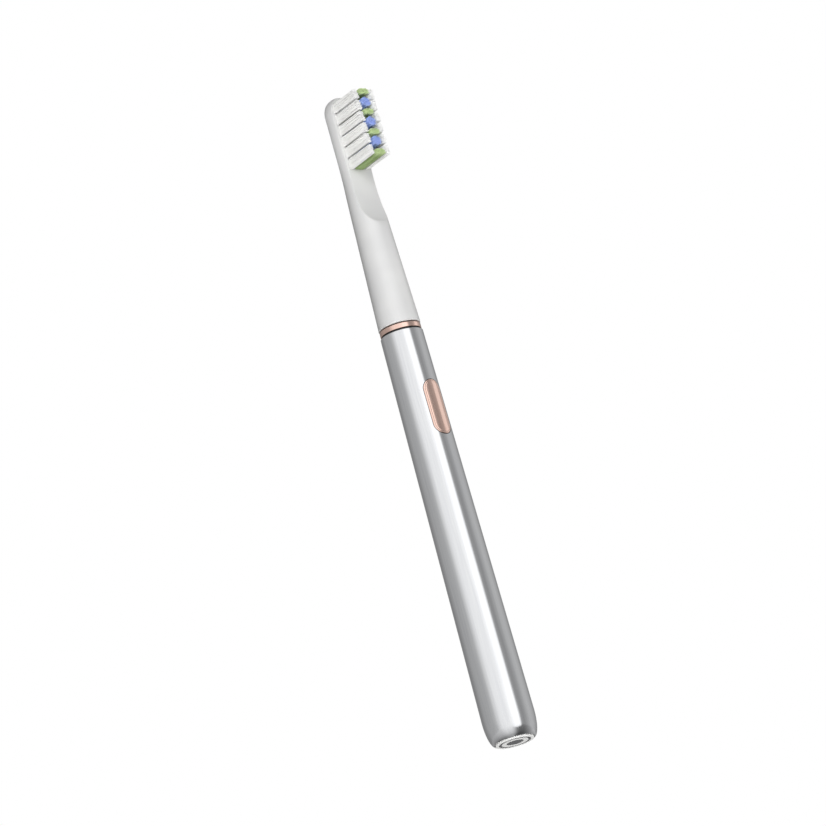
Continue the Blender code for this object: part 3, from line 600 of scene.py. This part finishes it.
def bristle_tree():
    """Geometry nodes that stand leaning filaments in every tuft of one kind."""
    group = bpy.data.node_groups.new("bristle_tufts", "GeometryNodeTree")
    for name, kind in (("Columns", "Int"), ("Column Spacing", "Float"), ("Tufts", "Int"), ("Pitch", "Float"),
                       ("First Root", "Vector"), ("Width", "Float"), ("Depth", "Float"), ("Across", "Int"),
                       ("Along", "Int"), ("Corner Limit", "Float"), ("Length", "Float"), ("Lean", "Float"),
                       ("Radius", "Float"), ("Seed", "Int"), ("Material", "Material")):
        group.interface.new_socket(name=name, in_out="INPUT", socket_type="NodeSocket" + kind)
    group.interface.new_socket(name="Geometry", in_out="OUTPUT", socket_type="NodeSocketGeometry")
    given = add_node(group, "NodeGroupInput").outputs

    side = add_node(group, "ShaderNodeCombineXYZ", {"X": given["Column Spacing"]})
    back_step = add_node(group, "ShaderNodeMath", {0: given["Columns"], 1: 1.0}, operation="SUBTRACT")
    half_step = add_node(group, "ShaderNodeMath", {0: back_step.outputs[0], 1: -0.5}, operation="MULTIPLY")
    first_column = add_node(group, "ShaderNodeVectorMath",
                            {0: side.outputs[0], "Scale": half_step.outputs[0]},
                            operation="SCALE")
    columns = add_node(group, "GeometryNodeMeshLine", {"Count": given["Columns"], "Offset": side.outputs[0],
                                                       "Start Location": first_column.outputs[0]},
                       mode="OFFSET")
    rise = add_node(group, "ShaderNodeCombineXYZ", {"Z": given["Pitch"]})
    rows = add_node(group, "GeometryNodeMeshLine", {"Count": given["Tufts"], "Offset": rise.outputs[0]},
                    mode="OFFSET")
    spread = add_node(group, "GeometryNodeInstanceOnPoints", {"Points": columns.outputs[0],
                                                              "Instance": rows.outputs[0]})
    roots = add_node(group, "GeometryNodeRealizeInstances", {"Geometry": spread.outputs[0]})
    placed = add_node(group, "GeometryNodeSetPosition", {"Geometry": roots.outputs[0],
                                                         "Offset": given["First Root"]})

    patch = add_node(group, "GeometryNodeMeshGrid", {"Size X": given["Width"], "Size Y": given["Depth"],
                                                     "Vertices X": given["Across"],
                                                     "Vertices Y": given["Along"]})
    spot = add_node(group, "GeometryNodeInputPosition")
    size = add_node(group, "ShaderNodeCombineXYZ", {"X": given["Width"], "Y": given["Depth"], "Z": 1.0})
    scaled = add_node(group, "ShaderNodeVectorMath", {0: spot.outputs[0], 1: size.outputs[0]},
                      operation="DIVIDE")
    away = add_node(group, "ShaderNodeVectorMath", {0: scaled.outputs[0]}, operation="LENGTH")
    limit = add_node(group, "ShaderNodeMath", {0: given["Corner Limit"], 1: 0.51}, operation="MULTIPLY")
    outside = add_node(group, "FunctionNodeCompare", {0: away.outputs["Value"], 1: limit.outputs[0]},
                       data_type="FLOAT", operation="GREATER_THAN")
    trimmed = add_node(group, "GeometryNodeDeleteGeometry", {"Geometry": patch.outputs["Mesh"],
                                                             "Selection": outside.outputs[0]}, domain="POINT")
    lean = add_node(group, "ShaderNodeCombineXYZ", {"X": given["Lean"]})
    patches = add_node(group, "GeometryNodeInstanceOnPoints", {"Points": placed.outputs[0],
                                                               "Instance": trimmed.outputs[0],
                                                               "Rotation": lean.outputs[0]})
    feet = add_node(group, "GeometryNodeRealizeInstances", {"Geometry": patches.outputs[0]})
    shake = add_node(group, "FunctionNodeRandomValue", {0: (-0.00003,) * 3, 1: (0.00003,) * 3,
                                                        "Seed": given["Seed"]}, data_type="FLOAT_VECTOR")
    shaken = add_node(group, "GeometryNodeSetPosition",
                      {"Geometry": feet.outputs[0], "Offset": shake.outputs[0]})

    # One filament: a six-sided rod whose middle ring is drawn up to the tip, where the end is rounded off.
    rod = add_node(group, "GeometryNodeMeshCylinder", {"Vertices": 6, "Side Segments": 2, "Fill Segments": 1,
                                                       "Radius": given["Radius"], "Depth": given["Length"]})
    part = add_node(group, "ShaderNodeSeparateXYZ",
                    {0: add_node(group, "GeometryNodeInputPosition").outputs[0]})
    share = add_node(group, "ShaderNodeMath", {0: part.outputs["Z"], 1: given["Length"]}, operation="DIVIDE")
    at_middle = add_node(group, "ShaderNodeMath", {0: share.outputs[0], 1: 0.0, 2: 0.1}, operation="COMPARE")
    at_tip = add_node(group, "ShaderNodeMath", {0: share.outputs[0], 1: 0.25}, operation="GREATER_THAN")
    half = add_node(group, "ShaderNodeMath", {0: given["Length"], 1: 0.5}, operation="MULTIPLY")
    below_tip = add_node(group, "ShaderNodeMath", {0: half.outputs[0], 1: given["Radius"]},
                         operation="SUBTRACT")
    lift_middle = add_node(group, "ShaderNodeMath", {0: at_middle.outputs[0], 1: below_tip.outputs[0]},
                           operation="MULTIPLY")
    lift = add_node(group, "ShaderNodeMath", {0: lift_middle.outputs[0], 1: half.outputs[0]}, operation="ADD")
    up = add_node(group, "ShaderNodeCombineXYZ", {"Z": lift.outputs[0]})
    narrow = add_node(group, "ShaderNodeMath", {0: at_tip.outputs[0], 1: -0.5, 2: 1.0},
                      operation="MULTIPLY_ADD")
    taper = add_node(group, "ShaderNodeCombineXYZ",
                     {"X": narrow.outputs[0], "Y": narrow.outputs[0], "Z": 1.0})
    again = add_node(group, "GeometryNodeInputPosition")
    shaped = add_node(group, "ShaderNodeVectorMath",
                      {0: again.outputs[0], 1: taper.outputs[0], 2: up.outputs[0]},
                      operation="MULTIPLY_ADD")
    filament = add_node(group, "GeometryNodeSetPosition", {"Geometry": rod.outputs["Mesh"],
                                                           "Position": shaped.outputs[0]})

    flare = 0.012
    low = add_node(group, "ShaderNodeVectorMath", {0: lean.outputs[0], 1: (-flare, 0, -flare)},
                   operation="ADD")
    high = add_node(group, "ShaderNodeVectorMath", {0: lean.outputs[0], 1: (flare, 0, flare)},
                    operation="ADD")
    tilt = add_node(group, "FunctionNodeRandomValue", {0: low.outputs[0], 1: high.outputs[0],
                                                       "Seed": given["Seed"]}, data_type="FLOAT_VECTOR")
    trim = add_node(group, "FunctionNodeRandomValue",
                    {0: (1, 1, 0.985), 1: (1, 1, 1.0), "Seed": given["Seed"]},
                    data_type="FLOAT_VECTOR")
    standing = add_node(group, "GeometryNodeInstanceOnPoints", {"Points": shaken.outputs[0],
                                                                "Instance": filament.outputs[0],
                                                                "Rotation": tilt.outputs[0],
                                                                "Scale": trim.outputs[0]})
    tone = add_node(group, "FunctionNodeRandomValue", {"Seed": given["Seed"]}, data_type="FLOAT")
    marked = add_node(group, "GeometryNodeStoreNamedAttribute",
                      {"Geometry": standing.outputs[0], "Name": "tone",
                                                                 "Value": tone.outputs[1]},
                      data_type="FLOAT", domain="INSTANCE")
    solid = add_node(group, "GeometryNodeRealizeInstances", {"Geometry": marked.outputs[0]})
    painted = add_node(group, "GeometryNodeSetMaterial", {"Geometry": solid.outputs[0],
                                                          "Material": given["Material"]})
    add_node(group, "NodeGroupOutput", {"Geometry": painted.outputs[0]})
    return group


def nylon(colour_name, dark, light, tip):
    """Extruded nylon filament: each one a slightly different tone, with painted light that turns the outer
    part of each filament paler towards its tip.
    """
    material, tree, shader = new_material(colour_name + "_nylon_filament", base_color=light, roughness=0.38,
                                          ior=1.53)
    tone = add_node(tree, "ShaderNodeAttribute", attribute_name="tone")
    shade = add_node(tree, "ShaderNodeValToRGB", {"Fac": tone.outputs["Fac"]})
    set_stops(shade, [(0.0, dark), (1.0, light)])
    place = add_node(tree, "ShaderNodeTexCoord").outputs["Object"]
    part = add_node(tree, "ShaderNodeSeparateXYZ", {0: place})
    # Painted light: the last few mm of each filament fade to the paler tip colour, standing in for the light
    # on the tips and the shade down among the roots.
    painted_tip_light = add_node(tree, "ShaderNodeMapRange", {"Value": part.outputs["Y"], "From Min": -0.0100,
                                                "From Max": -0.0128})
    mixed = add_node(tree, "ShaderNodeMix", {"Factor": painted_tip_light.outputs[0], 6: shade.outputs["Color"],
                                            7: linear(tip)}, data_type="RGBA")
    tree.links.new(mixed.outputs[2], shader.inputs["Base Color"])
    return material


group = bristle_tree()
sockets = {item.name: item.identifier for item in group.interface.items_tree if item.in_out == "INPUT"}
# Each kind's darker and lighter filament tones, then the paler colour painted on its tips as painted light.
shades = {"white": ("#f6f6f3", "#fdfdfb", "#ffffff"), "green": ("#8da668", "#b3c98e", "#d9ebb4"),
          "blue": ("#7c97de", "#9db5f3", "#b6c9fc")}
for seed, (colour, kind) in enumerate(tuft_kinds.items()):
    columns, spacing, count, pitch, first, width, depth, length, corner = kind
    holder = bpy.data.objects.new("holder", bpy.data.meshes.new("holder"))
    bpy.context.scene.collection.objects.link(holder)
    grower = holder.modifiers.new("filaments", "NODES")
    grower.node_group = group
    net_width, net_depth = width - 2 * filament_r, depth - 2 * filament_r
    sunk = tuft_root - 0.1
    into_plate = Vector((0, math.cos(tuft_lean), -math.sin(tuft_lean))) * sunk
    values = {"Columns": columns, "Column Spacing": spacing * MM, "Tufts": count, "Pitch": pitch * MM,
              "First Root": (Vector((0, plate_front, first)) + into_plate) * MM, "Width": net_width * MM,
              "Depth": net_depth * MM, "Across": round(net_width / filament_gap) + 1,
              "Along": round(net_depth / filament_gap) + 1, "Corner Limit": corner,
              "Length": (length + sunk) * MM, "Lean": math.pi / 2 - tuft_lean, "Radius": filament_r * MM,
              "Seed": seed, "Material": nylon(colour, *shades[colour])}
    for name, value in values.items():
        grower[sockets[name]] = value
    bpy.context.view_layer.update()
    grown = bpy.data.meshes.new_from_object(holder.evaluated_get(bpy.context.evaluated_depsgraph_get()))
    grown.name = f"tufts_{colour}"
    bpy.data.objects.remove(holder)
    tufts = add_piece(f"tufts_{colour}", grown, values["Material"], 60)
    tuft_side.objects.link(tufts)
    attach(tufts, "brush_head")
    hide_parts(*[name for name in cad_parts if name.startswith("tuft_" + colour)])


# ---- End cap and charging contacts ----
# A white gloss plastic plug closes the tube. Two dark plated contacts lie flush in its face, a ring round a
# disc, each in a shallow recess. Only the disc's pin is drawn: the ring's pin and the two holes through the
# plug, which are hidden inside, are left out.
cap_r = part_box("end_cap")[1].x / MM
cap_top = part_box("end_cap")[1].z / MM
recess = 0.75
groove_low, groove_high, groove_r = 2.6, 3.8, 5.05
ring_in, ring_out, centre_r, contact_t, contact_play = 4.25, 4.75, 2.45, 0.6, 0.15
cap_profile = filleted([(0, cap_top, 0), (cap_r, cap_top, 0.3), (cap_r, groove_high, 0.1),
                        (groove_r, groove_high, 0.1), (groove_r, groove_low, 0.1), (cap_r, groove_low, 0.1),
                        (cap_r, 0.0, 0.45), (ring_out + contact_play, 0, 0.08),
                        (ring_out + contact_play, recess, 0), (ring_in - contact_play, recess, 0),
                        (ring_in - contact_play, 0, 0.08), (centre_r + contact_play, 0, 0.08),
                        (centre_r + contact_play, recess, 0), (0, recess, 0)])
white_plastic, tree, shader = new_material("white_gloss_polycarbonate", base_color="#f2f2f0", roughness=0.25,
                                           ior=1.58)
place = add_node(tree, "ShaderNodeTexCoord").outputs["Object"]
mottle = add_node(tree, "ShaderNodeTexNoise", {"Vector": place, "Scale": 1 / 0.0004, "Detail": 3.0})
gloss = add_node(tree, "ShaderNodeMapRange", {"Value": mottle.outputs["Fac"], "To Min": 0.2, "To Max": 0.3})
tint = add_node(tree, "ShaderNodeValToRGB", {"Fac": mottle.outputs["Fac"]})
set_stops(tint, [(0.3, "#eeeeec"), (0.7, "#f5f5f3")])
tree.links.new(tint.outputs["Color"], shader.inputs["Base Color"])
tree.links.new(gloss.outputs[0], shader.inputs["Roughness"])
cap = add_piece("end_cap_plug", turned("end_cap_plug", cap_profile, 160), white_plastic)
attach(cap, "handle")
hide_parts("end_cap")

# Dark nickel plating over turned brass: a smoky mirror with lathe marks, rings about 0.15 mm apart.
plating, tree, shader = new_material("dark_nickel_plating", base_color="#77787b", metallic=1.0, roughness=0.3)
place = add_node(tree, "ShaderNodeTexCoord").outputs["Object"]
marks = add_node(tree, "ShaderNodeTexWave", {"Vector": place, "Scale": 1 / 0.0003, "Distortion": 0.6,
                                             "Detail": 2.0},
                 wave_type="RINGS", rings_direction="Z")
gloss = add_node(tree, "ShaderNodeMapRange", {"Value": marks.outputs["Fac"], "To Min": 0.24, "To Max": 0.36})
tint = add_node(tree, "ShaderNodeValToRGB", {"Fac": marks.outputs["Fac"]})
set_stops(tint, [(0.0, "#6c6d70"), (1.0, "#818285")])
lathe = add_node(tree, "ShaderNodeBump", {"Height": marks.outputs["Fac"], "Strength": 0.15,
                                          "Distance": 0.000005})
tree.links.new(tint.outputs["Color"], shader.inputs["Base Color"])
tree.links.new(gloss.outputs[0], shader.inputs["Roughness"])
tree.links.new(lathe.outputs[0], shader.inputs["Normal"])
pin_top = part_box("centre_contact")[1].z / MM
contacts = {
    "centre_contact": [(0, pin_top, 0), (0.3, pin_top, 0.1), (0.3, contact_t, 0.1),
                       (centre_r, contact_t, 0.1),
                       (centre_r, 0, 0.12), (0, 0, 0)],
    "ring_contact": [(ring_out, contact_t, 0.08), (ring_out, 0, 0.08), (ring_in, 0, 0.08),
                     (ring_in, contact_t, 0.08)],
}
for node, corners in contacts.items():
    contact = add_piece(node + "_plated", turned(node + "_plated", filleted(corners), 160), plating)
    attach(contact, "handle")
    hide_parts(node)


# ---- Frame and motor holder ----
# A moulded frame of glass filled nylon carries the works, and a holder of the same plastic, press fitted
# under the neck ring, grips the motor. The holder's nose is remade smooth, because it shows when the brush
# head comes off.
def give_finish(material, *nodes):
    """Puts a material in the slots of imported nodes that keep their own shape."""
    for node in nodes:
        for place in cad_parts[node].material_slots:
            place.material = material


filled_nylon = grained("glass_filled_grey_nylon", "#6b6d70", "#808285", (0.45, 0.6), (0.25, 0.25, 1), 0.012)
give_finish(filled_nylon, "chassis")
nose_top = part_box("motor_holder")[1].z / MM
holder_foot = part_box("motor_holder")[0].z / MM
sleeve_r, motor_bore_r, nose_r, nose_lip_r, seal_bore_r = 5.4, 4.55, 4.4, 3.6, 2.6
shoulder_top, bore_end = 128.7, 127.4
holder_profile = filleted([(seal_bore_r, nose_top, 0.1), (nose_lip_r, nose_top, 0.25),
                           (nose_r, nose_top - 1, 0.25), (nose_r, shoulder_top, 0.05),
                           (sleeve_r, shoulder_top, 0.1), (sleeve_r, holder_foot, 0.1),
                           (motor_bore_r, holder_foot, 0.1), (motor_bore_r, bore_end, 0),
                           (seal_bore_r, bore_end, 0)])
holder_piece = add_piece("motor_holder_moulding", turned("motor_holder_moulding", holder_profile),
                         filled_nylon)
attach(holder_piece, "handle")
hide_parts("motor_holder")


# ---- Seals ----
# Moulded rubber keeps water out. The shaft's seal is a ring with a thin lip, pressed into the holder's nose,
# and the others are the button's seal, the end cap's O-ring and the damper under the motor.
give_finish(rubber, "button_seal", "cap_o_ring", "motor_damper")
seal_low, seal_high = (corner.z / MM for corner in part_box("shaft_seal"))
seal_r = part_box("shaft_seal")[1].x / MM
seal_inner_r, seal_lip_r = 1.6, 2.0
seal_profile = filleted([(seal_inner_r, seal_high - 0.2, 0.05), (seal_lip_r, seal_high, 0.1),
                         (seal_r, seal_high, 0.1), (seal_r, seal_low, 0.1), (seal_inner_r, seal_low, 0.1)])
shaft_seal = add_piece("shaft_seal_lip", turned("shaft_seal_lip", seal_profile), rubber)
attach(shaft_seal, "handle")
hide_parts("shaft_seal")


# ---- Drive shaft and rotor ----
# A ground stainless shaft turns in two steel bearings. Its top is chamfered and has a long flat, and an
# acetal insert in the brush head grips it. A nickel plated magnet on its lower end is the rotor.
ground_steel = grained("ground_stainless_steel", "#babbbd", "#c6c7c8", (0.22, 0.28), (2, 2, 0.25), 0.0008,
                       metallic=1.0)
give_finish(ground_steel, "motor_upper_bearing", "motor_lower_bearing")
shaft_low, shaft_high = (corner.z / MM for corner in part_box("drive_shaft"))
shaft_r, flat_y, flat_low = 1.5, 1.0, 138.0
shaft_profile = filleted([(0, shaft_high, 0), (shaft_r - 0.3, shaft_high, 0.06),
                          (shaft_r, shaft_high - 0.3, 0.06), (shaft_r, shaft_low, 0.1), (0, shaft_low, 0)])
cut_width, cut_depth, cut_length = 6, 4, 20
cutter_centre = (0, (flat_y + cut_depth / 2) * MM, (flat_low + cut_length / 2) * MM)
bm = bmesh.new()
bmesh.ops.create_cube(bm, size=1, matrix=Matrix.Translation(cutter_centre)
                      @ Matrix.Diagonal((cut_width * MM, cut_depth * MM, cut_length * MM, 1)))
shaft_mesh = cut_away(turned("drive_shaft_ground", shaft_profile, 64), mesh_from(bm, "flat_cutter"))
shaft = add_piece("drive_shaft_ground", shaft_mesh, ground_steel)
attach(shaft, "drive")
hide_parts("drive_shaft")
plated_magnet = grained("nickel_plated_neodymium", "#b9b8b4", "#cfcecb", (0.18, 0.28), (0.3,) * 3, 0.004,
                        metallic=1.0)
give_finish(plated_magnet, "rotor_magnet", "alignment_magnet")
acetal = grained("moulded_white_acetal", "#e4e4df", "#efefeb", (0.35, 0.45), (0.3,) * 3, 0.006)
give_finish(acetal, "motor_end_plate", "switch_plunger", "shaft_insert")


# ---- Motor ----
# A drawn steel can, zinc plated, with an acetal end plate and coils of enamelled copper wire whose turns,
# about 0.12 mm apart, run round the shaft.
zinc_steel = grained("drawn_zinc_plated_steel", "#a6a9ac", "#bfc2c5", (0.28, 0.42), (0.2, 0.2, 2.4), 0.005,
                     metallic=1.0)
give_finish(zinc_steel, "motor_can")
copper = grained("enamelled_copper_winding", "#9c4f26", "#c8753f", (0.25, 0.4), (1.44, 1.44, 0.12), 0.03,
                 metallic=1.0)
give_finish(copper, "motor_coil", "power_inductor")


# ---- Battery ----
# One lithium cell in a printed blue PVC sleeve, with rolled nickel strips spot welded to both ends.
give_finish(grained("printed_blue_pvc_sleeve", "#24539a", "#2f64b0", (0.3, 0.42), (0.6,) * 3, 0.01, ior=1.54),
            "battery_cell")
give_finish(grained("rolled_nickel_strip", "#b0aca3", "#c5c1b9", (0.25, 0.38), (0.1, 1, 0.1), 0.004,
                    metallic=1.0),
            "battery_tab_positive", "battery_tab_negative")


# ---- Circuit board ----
# A fibreglass board under green solder mask, with chips moulded in black epoxy, and the switch that the
# button works.
give_finish(grained("green_solder_mask_board", "#1d5a33", "#2a6e40", (0.3, 0.45), (0.4,) * 3, 0.01),
            "circuit_board")
give_finish(grained("moulded_black_epoxy", "#1c1c1d", "#2a2a2b", (0.5, 0.65), (0.08,) * 3, 0.008),
            "charge_chip",
            "controller_chip", "switch_body")


# ---- Leads ----
# Stranded wire in red and black PVC insulation, extruded with a dull gloss, runs between board, cell, motor
# and cap.
give_finish(grained("red_pvc_wire_insulation", "#a81d18", "#c22a22", (0.38, 0.5), (0.3,) * 3, 0.01),
            "charge_lead_centre",
            "battery_lead_positive", "motor_lead_a")
give_finish(grained("black_pvc_wire_insulation", "#1d1d1e", "#2b2b2c", (0.38, 0.5), (0.3,) * 3, 0.01),
            "charge_lead_ring",
            "battery_lead_negative", "motor_lead_b")
